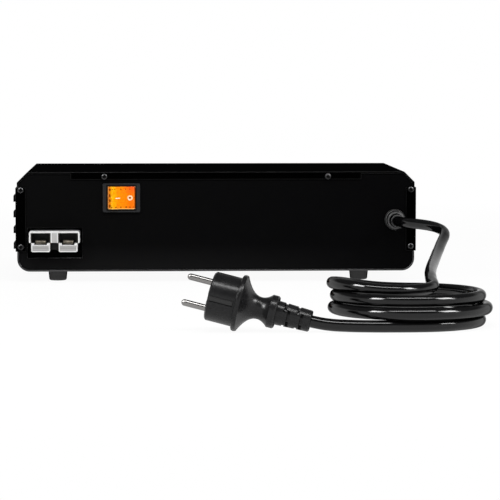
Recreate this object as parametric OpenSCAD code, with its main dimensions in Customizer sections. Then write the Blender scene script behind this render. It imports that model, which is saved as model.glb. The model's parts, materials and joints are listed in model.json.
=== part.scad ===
// Workshop battery charger: a low sheet-steel case that carries its mains lead, rocker switch
// and two-pole output connector on the rear panel. Millimetres, +Z up, the rear panel faces -Y.
// The origin is on the surface it stands on, in the middle of the case with its fittings.

/* [Case] */
// Width of the folded shell, without the side plates
case_w = 346.4; // [320:0.2:400]
// Height of the folded shell, without the feet
case_h = 86.6; // [84:0.2:110]
// Depth between the outer faces of the rear and front panels
case_d = 190; // [180:1:260]
// Thickness of the shell's sheet
sheet = 1.5; // [1:0.1:2]
// Leg of the bevel along both upper edges
top_chamfer = 9; // [6:0.5:12]
// Radius along both lower edges
bottom_radius = 11; // [8:0.5:14]
// Height at which the tray's walls meet the cover's, above the tray's floor
seam_rise = 43; // [36:0.5:50]
// Thickness of the rear and front panels
panel_t = 1.5; // [1.2:0.1:2.5]
// Gap left round each panel inside the shell
panel_gap = 0.2; // [0.1:0.05:0.4]

/* [Tabs and screws] */
// Thickness of the side plates, and of every tab that laps over a panel
tab_t = 1.3; // [1:0.1:1.6]
// Width of the cover's tab over each panel
top_tab_w = 253; // [220:1:290]
// Height of the cover's tab
top_tab_h = 6.5; // [6:0.1:8]
// Distance of the cover's tab screws from the middle
top_screw_x = 97.3; // [80:0.1:105]
// Width of the side plates' tabs
side_tab_w = 8.8; // [8:0.1:11]
// Distance of a screw from the edge of its tab
screw_inset = 4; // [3.6:0.1:4.2]
// Head diameter of the case screws
screw_head_d = 5.6; // [5:0.1:6.2]
// Shank diameter of the case screws
screw_d = 3; // [2.5:0.1:3.2]
// Shank length of the case screws
screw_len = 7; // [5:0.5:10]

/* [Side plates] */
// Bottom edge of the side plates, above the tray's underside
plate_rise = 17.5; // [15:0.5:20]
// Height of the side plates
plate_h = 55.5; // [54:0.5:60]
// Rows of louvres
louvre_rows = 4; // [2:1:4]
// Distance between louvre rows
louvre_pitch = 13.8; // [12.5:0.1:14.2]
// Height of one louvre
louvre_h = 8; // [6:0.1:9]
// How far a louvre stands out
louvre_rise = 3; // [2:0.1:4]
// Length of one louvre
louvre_len = 66; // [50:1:76]
// Louvres side by side
louvre_columns = 2; // [1:1:2]
// Diameter of the air intake in the other side plate
intake_d = 48; // [40:1:50]
// Height of the intake slots
intake_slot = 3; // [2:0.1:4]
// Distance between the intake slots
intake_pitch = 6; // [5.5:0.1:8]

/* [Feet] */
// Height of a foot
foot_h = 9; // [7:0.5:14]
// Diameter of a foot at the case
foot_top_d = 16.8; // [15:0.1:20]
// Diameter of a foot at the floor
foot_low_d = 15.2; // [14:0.1:18]
// Distance of the left feet from the shell's left side
foot_left_inset = 34.6; // [26:0.1:50]
// Distance of the right feet from the shell's right side
foot_right_inset = 47.1; // [26:0.1:60]
// Distance of the feet from the rear and front panels
foot_end_inset = 20; // [14:0.5:30]

/* [Rocker switch] */
// Distance of the switch from the shell's left side
switch_inset = 90.7; // [85:0.1:110]
// Height of the switch above the tray's underside
switch_rise = 64.2; // [55:0.1:65]
// Width of the switch's bezel
bezel_w = 32.3; // [31.5:0.1:34]
// Height of the switch's bezel
bezel_h = 25; // [24.6:0.1:28]
// How far the bezel stands out
bezel_out = 2; // [1.5:0.1:2.5]
// Width of the opening round the rocker
rocker_bay_w = 25.2; // [24.8:0.1:27]
// Height of the opening round the rocker
rocker_bay_h = 20; // [18:0.1:20.4]
// Radius of the rocker's ends about its pivot
rocker_r = 12.1; // [11.5:0.1:12.3]
// Half of the rocker's travel
rocker_tilt = 12; // [8:0.5:13]
// Depth of the switch's body behind the panel
switch_depth = 17; // [15:0.5:25]

/* [Output connector] */
// Distance between the left side plate's tab and the connector's cut-out
dc_gap = 1.2; // [0.8:0.1:6]
// Height of the connector's split line above the tray's underside
dc_rise = 25.9; // [22:0.1:32]
// Width over the connector's hood
dc_w = 43.8; // [42:0.1:46]
// Height of the hood above the split line
dc_hood_h = 10.1; // [9.8:0.1:12]
// Height of the lower blocks below the split line
dc_block_h = 8; // [7:0.1:9]
// Width of the block under one pole
dc_pole_w = 16.3; // [15:0.1:17]
// Wall of the hood
dc_wall = 1.9; // [1.5:0.1:2]
// How far the connector stands out from the panel
dc_out = 12; // [8:0.5:16]
// Depth of the cavities
dc_cavity = 17; // [14:0.5:20]
// Depth of the connector behind the panel's face
dc_depth = 34; // [28:1:45]
// Width of a contact
contact_w = 8.8; // [7:0.1:10]
// Width of the panel's cut-out round the connector
dc_cut_w = 48; // [47.2:0.1:50]
// Room in the cut-out above the hood
dc_cut_above = 2; // [1.5:0.1:3]
// Room in the cut-out below the blocks
dc_cut_below = 6; // [4:0.1:6.5]

/* [Mains inlet] */
// Distance between the right side plate's tab and the gland's flange
gland_gap = 0.4; // [0.3:0.1:6]
// Height of the gland above the tray's underside
gland_rise = 44.6; // [40:0.1:50]
// Diameter of the gland's flange
gland_flange_d = 18.2; // [17.6:0.1:20]
// Thickness of the gland's flange
gland_flange_t = 3; // [2:0.1:4]
// Diameter of the gland's threaded body
gland_body_d = 15; // [13.5:0.1:16]
// Diameter of the mains lead
cord_d = 8.8; // [8:0.1:9]
// Length of the tapered strain relief outside the gland
relief_len = 18; // [14:1:24]
// Diameter of the strain relief's tip
relief_tip_d = 11; // [10.4:0.1:12]

/* [Plug] */
// Distance between the two pins
pin_pitch = 19; // [18.8:0.1:19.2]
// Diameter of a pin
pin_d = 4.8; // [4:0.1:5]
// Length of a pin in front of the plug's face
pin_len = 19; // [18:0.1:20]
// Diameter of a pin's root inside the plug
pin_root_d = 4; // [3:0.1:4.4]
// Diameter of the plug's face block
plug_d = 35.4; // [34:0.1:36]
// Length of the plug's face block
plug_block = 20; // [18:0.5:22]
// Diameter of the plug's flange
plug_flange_d = 41; // [39:0.5:42]

/* [Front panel] */
// Width of the display's window
window_w = 62; // [40:1:70]
// Height of the display's window
window_h = 26; // [20:1:30]
// Distance of the window from the middle, to the left as seen from behind
window_x = -60; // [-80:1:-50]
// Diameter of a push button
button_d = 12; // [10:0.5:14]
// Travel of a push button
button_travel = 1.2; // [0.8:0.1:1.5]
// How far a push button stands out
button_out = 2.5; // [2:0.1:3]
// Diameter of an indicator light
light_d = 5; // [3:0.5:6]

/* [Inside] */
// Room between the shell's left side and the main board
board_side_room = 29; // [20:1:34]
// Room between the main board and the fan
board_fan_room = 50; // [40:1:56]
// Thickness of the circuit boards
board_t = 1.6; // [1:0.1:2]
// Height of the board's standoffs
standoff_h = 8; // [6:0.5:9]
// Size of the square fan
fan_size = 50; // [48:1:52]
// Thickness of the fan
fan_t = 15; // [12:1:18]
// Height of the heat sinks
sink_h = 42; // [34:1:46]

/* [Hidden] */
$fn = 64;

nudge = 1;               // how far a cutting tool runs past the faces it cuts
slip = 0.1;              // radial room round a screw or a pin in its hole
seat = 0.3;              // room round a piece that drops into a cut-out
touch = 0.01;            // how far two fused forms run into each other

screw_head_h = 2.2;
fan_screw_head_h = 1.4;

// The case frame: x and y from the middle of the shell, z from the surface it stands on
body_x = (louvre_rise - fan_screw_head_h) / 2;
body_y = (dc_out - tab_t - screw_head_h) / 2;
left_x = -case_w / 2;
right_x = case_w / 2;
rear_y = -case_d / 2;
front_y = case_d / 2;
low_z = foot_h;
top_z = foot_h + case_h;
floor_z = foot_h + sheet;
seam_z = low_z + seam_rise;
plate_low_z = low_z + plate_rise;
plate_top_z = plate_low_z + plate_h;
plate_mid_z = low_z + plate_rise + plate_h / 2;

switch_x = left_x + switch_inset;
switch_z = low_z + switch_rise;
dc_x = left_x - tab_t + side_tab_w + dc_gap + dc_cut_w / 2;
dc_z = low_z + dc_rise;
gland_x = right_x + tab_t - side_tab_w - gland_gap - gland_flange_d / 2;
gland_z = low_z + gland_rise;

hole_d = screw_d + 2 * slip;
louvre_sheet = 1;
louvre_low_z = plate_low_z + 0.7;
louvre_margin = 10;

// Height of a louvre row's lower edge
function louvre_z(row) = louvre_low_z + row * louvre_pitch;
// Middle of a louvre column
function louvre_y(column) = (column - (louvre_columns - 1) / 2) * (louvre_len + louvre_margin);

// Where the case screws sit on a panel, seen as [x, z]
TAB_SCREWS = [
    [-top_screw_x, top_z - screw_inset],
    [top_screw_x, top_z - screw_inset],
    [left_x + screw_inset - tab_t / 2, plate_top_z - screw_inset / 2],
    [left_x + screw_inset - tab_t / 2, plate_low_z + screw_inset],
    [right_x - screw_inset + tab_t / 2, plate_top_z - screw_inset / 2],
    [right_x - screw_inset + tab_t / 2, plate_low_z + screw_inset]
];

FEET = [
    [left_x + foot_left_inset, rear_y + foot_end_inset],
    [right_x - foot_right_inset, rear_y + foot_end_inset],
    [left_x + foot_left_inset, front_y - foot_end_inset],
    [right_x - foot_right_inset, front_y - foot_end_inset]
];

// Small helpers

module in_case() {
    translate([body_x, body_y, 0]) children();
}

// Extrudes an [x, z] outline from y0 to y1
module along_y(y0, y1) {
    translate([0, y1, 0]) rotate([90, 0, 0]) linear_extrude(y1 - y0) children();
}

// Extrudes a [y, z] outline from x0 to x1
module along_x(x0, x1) {
    translate([x0, 0, 0]) rotate([90, 0, 90]) linear_extrude(x1 - x0) children();
}

// Revolves an [r, distance] profile about the -Y direction, outwards from the rear panel
module outwards() {
    rotate([90, 0, 0]) rotate_extrude() children();
}

module rounded(w, h, r) {
    square([w - 2 * r, h], center = true);
    square([w, h - 2 * r], center = true);
    for (sx = [-1, 1], sz = [-1, 1]) translate([sx * (w / 2 - r), sz * (h / 2 - r)]) circle(r);
}

module case_outline(inset) {
    w = case_w / 2 - inset;
    z0 = low_z + inset;
    z1 = top_z - inset;
    r = bottom_radius - inset;
    c = top_chamfer - inset * (2 - sqrt(2));
    polygon([[-w, z0 + r], [w, z0 + r], [w, z1 - c], [w - c, z1], [c - w, z1], [-w, z1 - c]]);
    translate([r - w, z0]) square([2 * (w - r), r + nudge]);
    for (side = [-1, 1]) translate([side * (w - r), z0 + r]) circle(r);
}

module shell() {
    along_y(rear_y - tab_t, front_y + tab_t) difference() {
        case_outline(0);
        case_outline(sheet);
    }
}

// The side walls step back under the side plates' tabs, so that the tabs lie flat
module tab_notches() {
    for (side = [-1, 1]) for (end = [rear_y - tab_t - nudge, front_y])
        translate([side * case_w / 2 - 5, end, plate_low_z - seat])
            cube([10, tab_t + nudge, plate_h + 2 * seat]);
}

window_margin = 6;

module side_windows() {
    for (side = [-1, 1])
        translate([side * case_w / 2 - 5, -window_half_y, plate_low_z + window_margin])
            cube([10, 2 * window_half_y, plate_h - 2 * window_margin]);
}
window_half_y = louvre_len + louvre_margin / 2 + 2;

module tab_screw_holes(d) {
    for (s = TAB_SCREWS) translate([s[0], 0, s[1]]) rotate([90, 0, 0])
        cylinder(d = d, h = case_d + 20, center = true);
}

// Case

module base_tray() {
    color("#151516") in_case() difference() {
        intersection() {
            shell();
            translate([-case_w, -case_d, 0]) cube([2 * case_w, 2 * case_d, seam_z]);
        }
        tab_notches();
        side_windows();
        for (f = FEET) translate([f[0], f[1], low_z - nudge])
            cylinder(d = foot_screw_d + 2 * slip, h = sheet + 2 * nudge);
        for (p = BOARD_POINTS) translate([p[0], p[1], low_z - nudge])
            cylinder(d = board_screw_d + 2 * slip, h = sheet + 2 * nudge);
    }
}

module top_cover() {
    color("#0c0c0d") in_case() difference() {
        union() {
            intersection() {
                shell();
                translate([-case_w, -case_d, seam_z + seat])
                    cube([2 * case_w, 2 * case_d, case_h]);
            }
            for (end = [rear_y - tab_t, front_y])
                translate([-top_tab_w / 2, end, top_z - top_tab_h])
                    cube([top_tab_w, tab_t, top_tab_h - sheet / 2]);
        }
        tab_notches();
        side_windows();
        tab_screw_holes(hole_d);
    }
}

module panel_blank() {
    case_outline(sheet + panel_gap);
}

module rear_panel() {
    color("#1b1b1d") in_case() difference() {
        along_y(rear_y, rear_y + panel_t) difference() {
            panel_blank();
            translate([switch_x, switch_z]) square([switch_cut_w, switch_cut_h], center = true);
            translate([dc_x - dc_cut_w / 2, dc_z - dc_block_h - dc_cut_below])
                square([dc_cut_w, dc_block_h + dc_cut_below + dc_hood_h + dc_cut_above]);
            translate([gland_x, gland_z]) circle(d = gland_body_d + 2 * slip);
        }
        tab_screw_holes(hole_d);
    }
}

module front_panel() {
    color("#1b1b1d") in_case() difference() {
        along_y(front_y - panel_t, front_y) difference() {
            panel_blank();
            translate([window_x, front_mid_z]) rounded(window_w, window_h, window_r);
            for (x = BUTTON_XS) translate([x, front_mid_z]) circle(d = button_d + 2 * button_room);
            for (x = LIGHT_XS) translate([x, light_z]) circle(d = light_d + 2 * slip);
        }
        tab_screw_holes(hole_d);
    }
}

// One side plate for the left side, with its tabs over both panels
module side_plate_blank() {
    outer_x = left_x - tab_t;
    translate([outer_x, rear_y - tab_t, plate_low_z])
        cube([tab_t, case_d + 2 * tab_t, plate_h]);
    for (end = [rear_y - tab_t, front_y])
        translate([outer_x, end, plate_low_z]) cube([side_tab_w, tab_t, plate_h]);
}

// One pressed louvre: a sloping hood, open along its lower edge and closed at both ends
module louvre(y) {
    outer_x = left_x - tab_t;
    lip = louvre_sheet;
    translate([0, y + louvre_len / 2, 0]) rotate([90, 0, 0]) linear_extrude(louvre_len)
        polygon([[outer_x, louvre_h], [outer_x - louvre_rise, 0],
            [outer_x - louvre_rise + lip, 0], [outer_x + lip, louvre_h]]);
    for (end = [y - louvre_len / 2, y + louvre_len / 2 - lip])
        translate([0, end + lip, 0]) rotate([90, 0, 0]) linear_extrude(lip)
            polygon([[outer_x, louvre_h], [outer_x - louvre_rise, 0],
                [outer_x + lip, 0], [outer_x + lip, louvre_h]]);
}

module louvred_side_plate() {
    color("#0c0c0d") in_case() {
        difference() {
            side_plate_blank();
            tab_screw_holes(hole_d);
            for (row = [0 : louvre_rows - 1], column = [0 : louvre_columns - 1])
                translate([left_x - tab_t - nudge, louvre_y(column) - louvre_len / 2, louvre_z(row)])
                    cube([tab_t + 2 * nudge, louvre_len, louvre_h - 1]);
        }
        for (row = [0 : louvre_rows - 1], column = [0 : louvre_columns - 1])
            translate([0, 0, louvre_z(row)]) louvre(louvre_y(column));
    }
}

module fan_side_plate() {
    rows = floor((intake_d - intake_slot) / 2 / intake_pitch);
    color("#0c0c0d") in_case() difference() {
        mirror([1, 0, 0]) side_plate_blank();
        tab_screw_holes(hole_d);
        along_x(right_x - nudge, right_x + tab_t + nudge)
            translate([0, plate_mid_z]) intersection() {
                circle(d = intake_d);
                for (i = [-rows : rows]) translate([0, i * intake_pitch])
                    square([intake_d, intake_slot], center = true);
            }
        for (p = FAN_POINTS) translate([right_x - nudge, p[0], plate_mid_z + p[1]])
            rotate([0, 90, 0]) cylinder(d = hole_d, h = tab_t + 2 * nudge);
    }
}

// Feet

foot_screw_d = 4;
foot_screw_head_d = 7.5;
foot_screw_head_h = 2.4;
foot_screw_recess = 0.9; // width and depth of the cross in its head
screw_end = 1;           // how far a screw passes its nut
foot_recess_d = 9;
foot_recess_h = foot_h - 3.5;
nut_flats_r = 4.04;
nut_h = 3.2;

module foot(i) {
    color("#141414") in_case() translate([FEET[i][0], FEET[i][1], 0])
        rotate_extrude() polygon([
            [foot_recess_d / 2, 0], [foot_low_d / 2 - 0.8, 0], [foot_low_d / 2, 0.8],
            [foot_top_d / 2, foot_h], [foot_screw_d / 2 + slip, foot_h],
            [foot_screw_d / 2 + slip, foot_recess_h], [foot_recess_d / 2, foot_recess_h]
        ]);
}

module foot_rear_left() { foot(0); }
module foot_rear_right() { foot(1); }
module foot_front_left() { foot(2); }
module foot_front_right() { foot(3); }

module foot_screws() {
    color("#b9bbbd") in_case() for (f = FEET) translate([f[0], f[1], 0]) {
        translate([0, 0, foot_recess_h - foot_screw_head_h]) difference() {
            cylinder(d = foot_screw_head_d, h = foot_screw_head_h);
            translate([0, 0, foot_screw_recess])
                cross_recess(foot_screw_head_d * 0.56, foot_screw_recess);
        }
        translate([0, 0, foot_recess_h - nudge])
            cylinder(d = foot_screw_d, h = floor_z + nut_h + screw_end - foot_recess_h + nudge);
    }
}

module foot_nuts() {
    color("#c8cacc") in_case() for (f = FEET) translate([f[0], f[1], floor_z]) difference() {
        cylinder(r = nut_flats_r, h = nut_h, $fn = 6);
        translate([0, 0, -nudge]) cylinder(d = foot_screw_d + slip, h = nut_h + 2 * nudge);
    }
}

// The cross of a screw head, cut downwards from z = 0
module cross_recess(span, w) {
    translate([-span / 2, -w / 2, -nudge * 2]) cube([span, w, nudge * 2]);
    translate([-w / 2, -span / 2, -nudge * 2]) cube([w, span, nudge * 2]);
}

// A pan head screw that points along +Y, with its head's seat at y = 0
module case_screw() {
    rotate([90, 0, 0]) difference() {
        rotate_extrude() polygon([
            [0, -screw_len], [screw_d / 2, -screw_len], [screw_d / 2, 0],
            [screw_head_d / 2, 0], [screw_head_d / 2, screw_head_h * 0.45],
            [screw_head_d / 2 - 0.5, screw_head_h * 0.82], [screw_d / 2, screw_head_h],
            [0, screw_head_h]
        ]);
        translate([0, 0, screw_head_h + nudge * 1.1]) cross_recess(screw_head_d * 0.6, 0.7);
    }
}

module case_screws() {
    color("#2a2a2c") in_case() for (s = TAB_SCREWS) {
        translate([s[0], rear_y - tab_t, s[1]]) case_screw();
        translate([s[0], front_y + tab_t, s[1]]) rotate([0, 0, 180]) case_screw();
    }
}

// Rocker switch

switch_wall = (bezel_h - rocker_bay_h) / 2 - 1;
switch_body_w = rocker_bay_w + 2 * 2.2;
switch_body_h = rocker_bay_h + 2 * switch_wall;
switch_cut_w = switch_body_w + seat;
switch_cut_h = switch_body_h + seat;
rocker_h = rocker_bay_h - 2 * seat;
rocker_valley = 5;                      // from the pivot out to the rocker's valley
rocker_low = 3;                         // from the pivot in to the rocker's back
pivot_pin_d = 3;
bezel_over_pivot = 4.4;                 // from the pivot out to the bezel's face
pivot_y = bezel_over_pivot - bezel_out;
bay_depth = pivot_y + 6.5;
terminal_x = 8;                         // from the switch's middle to a terminal
terminal_z = 5;
terminal_len = 9;
terminal_w = 6.3;
terminal_t = 0.8;

module at_switch() {
    in_case() translate([switch_x, rear_y, switch_z]) children();
}

module switch_housing() {
    color("#3a3b3d") at_switch() difference() {
        union() {
            along_y(-bezel_out, 0) rounded(bezel_w, bezel_h, 1.2);
            along_y(-bezel_out / 2, switch_depth)
                square([switch_body_w, switch_body_h], center = true);
        }
        along_y(-bezel_out - nudge, bay_depth)
            square([rocker_bay_w, rocker_bay_h], center = true);
        translate([0, pivot_y, 0])
            cylinder(d = pivot_pin_d + 2 * slip, h = switch_body_h - 0.4, center = true);
    }
}

module switch_rocker() {
    rise = (rocker_r + nudge) * tan(rocker_tilt);
    reach = rocker_r + nudge;
    color("#ff8a00") at_switch() translate([0, pivot_y, 0]) rotate([0, 0, rocker_tilt]) {
        linear_extrude(rocker_h, center = true) intersection() {
            circle(rocker_r);
            polygon([[-reach, rocker_low], [reach, rocker_low], [reach, -rocker_valley - rise],
                [0, -rocker_valley], [-reach, -rocker_valley - rise]]);
        }
        cylinder(d = pivot_pin_d, h = switch_body_h - 1, center = true);
    }
}

module switch_terminals() {
    color("#c9a64a") at_switch() for (sx = [-1, 1], sz = [-1, 1])
        translate([sx * terminal_x, switch_depth, sz * terminal_z]) difference() {
            translate([-terminal_t / 2, 0, -terminal_w / 2])
                cube([terminal_t, terminal_len, terminal_w]);
            translate([0, terminal_len - 3, 0]) rotate([0, 90, 0])
                cylinder(d = 1.6, h = terminal_t + 2 * nudge, center = true);
        }
}

// Output connector: two poles, one hood over both, one block under each

pole_gap = dc_w - 2 * dc_wall - 2 * dc_pole_w;   // the wall between the two poles
pole_x = (dc_pole_w + pole_gap) / 2;
cavity_h = dc_hood_h - dc_wall;
pole_ledge = 0.6;        // how far a block's sides stand out past its cavity's
cavity_w = dc_pole_w - 2 * pole_ledge;
notch_w = contact_w + 2.2;
notch_h = 1.8;
block_r = 1.4;
hood_r = 2;
contact_t = 2.4;
contact_nose = 2.1;
contact_inset = 3.5;
contact_tail = 6;
bracket_t = 1.2;
bracket_y = 10;

module at_connector() {
    in_case() translate([dc_x, rear_y, dc_z]) children();
}

module hood_outline() {
    w = dc_w / 2;
    translate([-w, 0]) square([dc_w, dc_hood_h - hood_r]);
    translate([hood_r - w, 0]) square([dc_w - 2 * hood_r, dc_hood_h]);
    for (side = [-1, 1]) translate([side * (w - hood_r), dc_hood_h - hood_r]) circle(hood_r);
}

module block_outline() {
    w = dc_pole_w / 2;
    translate([-w, block_r - dc_block_h]) square([dc_pole_w, dc_block_h - block_r + nudge]);
    translate([block_r - w, -dc_block_h]) square([dc_pole_w - 2 * block_r, dc_block_h]);
    for (side = [-1, 1]) translate([side * (w - block_r), block_r - dc_block_h]) circle(block_r);
}

module dc_connector_housing() {
    cavity_back = dc_cavity - dc_out;
    color("#b9babb") at_connector() difference() {
        union() {
            along_y(-dc_out, dc_depth) hood_outline();
            for (side = [-1, 1]) translate([side * pole_x, 0, 0])
                along_y(-dc_out, dc_depth) block_outline();
            translate([-pole_x, cavity_back - 3, 1 - dc_block_h])
                cube([2 * pole_x, dc_depth - cavity_back + 3, dc_block_h]);
        }
        for (side = [-1, 1]) translate([side * pole_x, 0, 0]) {
            translate([-cavity_w / 2, -dc_out - nudge, 0])
                cube([cavity_w, dc_cavity + nudge, cavity_h]);
            translate([-notch_w / 2, -dc_out - nudge, -notch_h])
                cube([notch_w, dc_cavity + nudge, notch_h + nudge]);
            translate([-contact_w / 2 - slip, 0, -notch_h])
                cube([contact_w + 2 * slip, dc_depth + nudge, contact_t + slip]);
        }
    }
}

module dc_contacts() {
    color("#cfc7b8") at_connector() for (side = [-1, 1]) translate([side * pole_x, 0, 0]) {
        translate([-contact_w / 2, contact_inset - dc_out, -notch_h])
            cube([contact_w, dc_depth + dc_out - contact_inset + contact_tail, contact_t]);
        translate([-contact_w / 2, contact_inset - dc_out, contact_nose - notch_h]) rotate([0, 90, 0])
            cylinder(r = contact_nose, h = contact_w);
    }
}

module connector_bracket() {
    w = dc_cut_w + 5;
    low = dc_block_h + dc_cut_below + 2;
    high = dc_hood_h + dc_cut_above + 1.5;
    color("#2c2d2f") at_connector() difference() {
        translate([-w / 2, panel_t, -low]) cube([w, bracket_y, low + high]);
        translate([bracket_t - w / 2, panel_t - nudge, bracket_t - low])
            cube([w - 2 * bracket_t, bracket_y - bracket_t + nudge, low + high]);
        translate([-dc_w / 2 - seat, 0, -dc_block_h - seat])
            cube([dc_w + 2 * seat, dc_depth, dc_block_h + dc_hood_h + 2 * seat]);
    }
}

// Mains gland and strain relief

cord_r = cord_d / 2;
cord_grip = 0.08;        // how far the gland and the relief close on the lead
gland_inside = 12;
gland_nut_r = 10.6;
gland_nut_h = 5;
relief_root_d = 15;
relief_collar = 8;
relief_step = 1.2;       // from the collar's rim in to the taper

module at_gland() {
    in_case() translate([gland_x, rear_y, gland_z]) children();
}

module cable_gland() {
    bore = cord_r - cord_grip;
    color("#161617") at_gland() outwards() polygon([
        [bore, -gland_inside - panel_t], [gland_body_d / 2, -gland_inside - panel_t],
        [gland_body_d / 2, 0], [gland_flange_d / 2, 0], [gland_flange_d / 2, gland_flange_t - 1],
        [gland_flange_d / 2 - 1, gland_flange_t], [bore, gland_flange_t]
    ]);
}

module gland_nut() {
    color("#1c1c1e") at_gland() translate([0, panel_t, 0]) rotate([-90, 0, 0]) difference() {
        cylinder(r = gland_nut_r, h = gland_nut_h, $fn = 6);
        translate([0, 0, -nudge])
            cylinder(d = gland_body_d + slip, h = gland_nut_h + 2 * nudge);
    }
}

module strain_relief() {
    bore = cord_r - cord_grip;
    root = relief_root_d / 2;
    tip = relief_tip_d / 2;
    color("#121213") at_gland() translate([0, -gland_flange_t, 0]) outwards() polygon([
        [bore, 0], [root, 0], [root, relief_collar - 0.6], [root - 0.6, relief_collar],
        [root - relief_step, relief_collar], [tip, relief_len - 0.6], [tip - 0.3, relief_len],
        [bore, relief_len]
    ]);
}

// Mains lead: a free stretch from the gland, a coil of nearly three turns, and a short tail

cord_sides = 10;
coil_x = 130.5;
coil_y = -465;
coil_r = 54;             // mean radius of the turns
coil_swing = 2.5;        // how far the turns' radii differ from it
coil_start = 150;        // angle at which the first turn begins, going clockwise
coil_levels = 3;

// Route of the free stretch, from the panel to the first turn
LEAD = [
    [157, -91, 53.6], [157, -101, 53.6], [157, -112, 53.6], [159, -124.4, 53.6],
    [164.6, -135.5, 53.4], [172.4, -143.5, 52.9], [181.4, -153.2, 51.9], [187.3, -165.1, 50.4],
    [189.5, -179, 48.4], [188.2, -194, 46.2], [184.8, -210, 43.7], [181, -228, 41.2],
    [177.2, -248, 38.9], [173.4, -268, 37], [170, -288, 35.6], [166.7, -308, 34.6],
    [163.5, -328, 33.9], [160.4, -348, 33.4], [157.5, -368, 33], [154.8, -388, 32.6],
    [152.4, -408, 32.2], [150.5, -428, 31.5], [149, -446, 30.3], [148.3, -462, 29.2],
    [146.1, -474.6, 28.4], [139.7, -485.7, 27.9], [129.9, -493.9, 27.7], [117.9, -498.2, 27.9],
    [105.1, -498.2, 28.6], [93.7, -494.1, 29.9], [83.7, -485.8, 30.8], [77.2, -474.6, 31.1],
    [75, -463.1, 30.8], [76.7, -450.5, 30]
];
// Route of the tail, from the last turn to the plug
TAIL = [[130.5, -517.4, 4.4], [115, -517.2, 4.4], [99, -516.2, 4.4], [83, -514.4, 4.6],
    [68, -512.2, 5.4], [56, -510.3, 7.5], [48, -509.2, 9.4]];

// Turns made at angle a, and the level and radius of the cord there
function turns_at(a) = (coil_start - a) / 360;
function drop_at(a) = let (q = (180 - a) / 360, n = floor(q), f = min(1, (q - n) * 4))
    n + f * f * (3 - 2 * f);
function coil_z(a) = cord_r + cord_d * max(0, coil_levels - max(0, drop_at(a)));
function coil_radius(a) = coil_r - coil_swing * cos(180 * (turns_at(a) - 0.53));
function coil_point(a) = [coil_x + coil_radius(a) * cos(a), coil_y + coil_radius(a) * sin(a),
    coil_z(a)];

function unit(v) = v / norm(v);
function tangent(p, i) = unit(p[min(i + 1, len(p) - 1)] - p[max(i - 1, 0)]);
// One ring of points round the route, square to it
function ring(p, i, r) = let (
    t = tangent(p, i),
    s = unit(cross(t, [0, 0, 1])),
    u = cross(s, t)
) [for (k = [0 : cord_sides - 1]) let (a = 360 * k / cord_sides)
    p[i] + r * (cos(a) * s + sin(a) * u)];

module tube(p, r) {
    n = cord_sides;
    last = (len(p) - 1) * n;
    points = [for (i = [0 : len(p) - 1]) each ring(p, i, r)];
    sides = [for (i = [0 : len(p) - 2], k = [0 : n - 1]) let (m = (k + 1) % n)
        each [[i * n + k, i * n + m, (i + 1) * n + k], [i * n + m, (i + 1) * n + m, (i + 1) * n + k]]];
    polyhedron(points, concat(sides, [[for (k = [n - 1 : -1 : 0]) k],
        [for (k = [0 : n - 1]) last + k]]));
}

module cord_lead() {
    first_turn = [for (a = [coil_start : -20 : 90]) coil_point(a)];
    color("#0e0e0f") tube(concat(LEAD, first_turn), cord_r);
}

module cord_coil() {
    inner = coil_r - coil_swing;
    outer = coil_r + coil_swing;
    core = cord_r * 0.7;
    color("#0e0e0f") translate([coil_x, coil_y, 0]) rotate_extrude($fn = 96) {
        translate([inner - core, 0]) square([outer - inner + 2 * core, coil_levels * cord_d]);
        for (level = [0 : coil_levels - 1], r = [inner, outer])
            translate([r, cord_r + level * cord_d]) circle(cord_r, $fn = 32);
    }
}

module cord_tail() {
    color("#0e0e0f") tube(TAIL, cord_r);
}

// Plug: it lies on its flange and its cord, with both pins in an upright plane

plug_flange_t = 4;
plug_waist_d = 16;
plug_collar_d = 23.6;
plug_tail_d = 17.4;
plug_tip_d = 15.4;
plug_waist_len = 20;
plug_collar_len = 5;
plug_tail_len = 25;
plug_len = plug_block + plug_flange_t + plug_waist_len + plug_collar_len + plug_tail_len;
// The flange's rim and the tip of the tail both lie on the surface
plug_tilt = atan((plug_flange_d - plug_tip_d) / 2 / (plug_len - plug_block - plug_flange_t / 2));
plug_end = [56, -510.3, plug_tip_d / 2 * cos(plug_tilt)];    // where the cord enters the plug
plug_turn = 9;                          // turn about the upright axis
pin_root = 12;                          // length of a pin inside the plug
cord_root = 12;                         // length of the cord inside the plug
earth_w = 4.4;
earth_depth = 2.6;
earth_t = 0.8;
tail_slot_w = 2;
tail_slot_depth = 2.2;
tail_slot_reach = 52;                   // half of the angle that a slot goes round
tail_slot_roll = 20;                    // turn of the slots about the plug's axis
// Each pair of slots in the tail: its share of the tail's length, and its angle from upright
TAIL_SLOTS = [[0.24, 0], [0.36, 90], [0.61, 0], [0.74, 90]];

// The plug's own frame: its axis along +X, from the face at x = 0 to the cord
module at_plug() {
    translate(plug_end) rotate([0, 0, -plug_turn]) rotate([0, plug_tilt, 0])
        translate([-plug_len, 0, 0]) children();
}

// The waist sweeps in from the flange and out again to the collar
function waist_r(f) = f < 0.62
    ? plug_waist_d / 2 + (plug_flange_d / 2 - 1.5 - plug_waist_d / 2) * pow(1 - f / 0.62, 2.2)
    : plug_waist_d / 2 + (plug_collar_d / 2 - plug_waist_d / 2) * pow((f - 0.62) / 0.38, 2);

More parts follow.
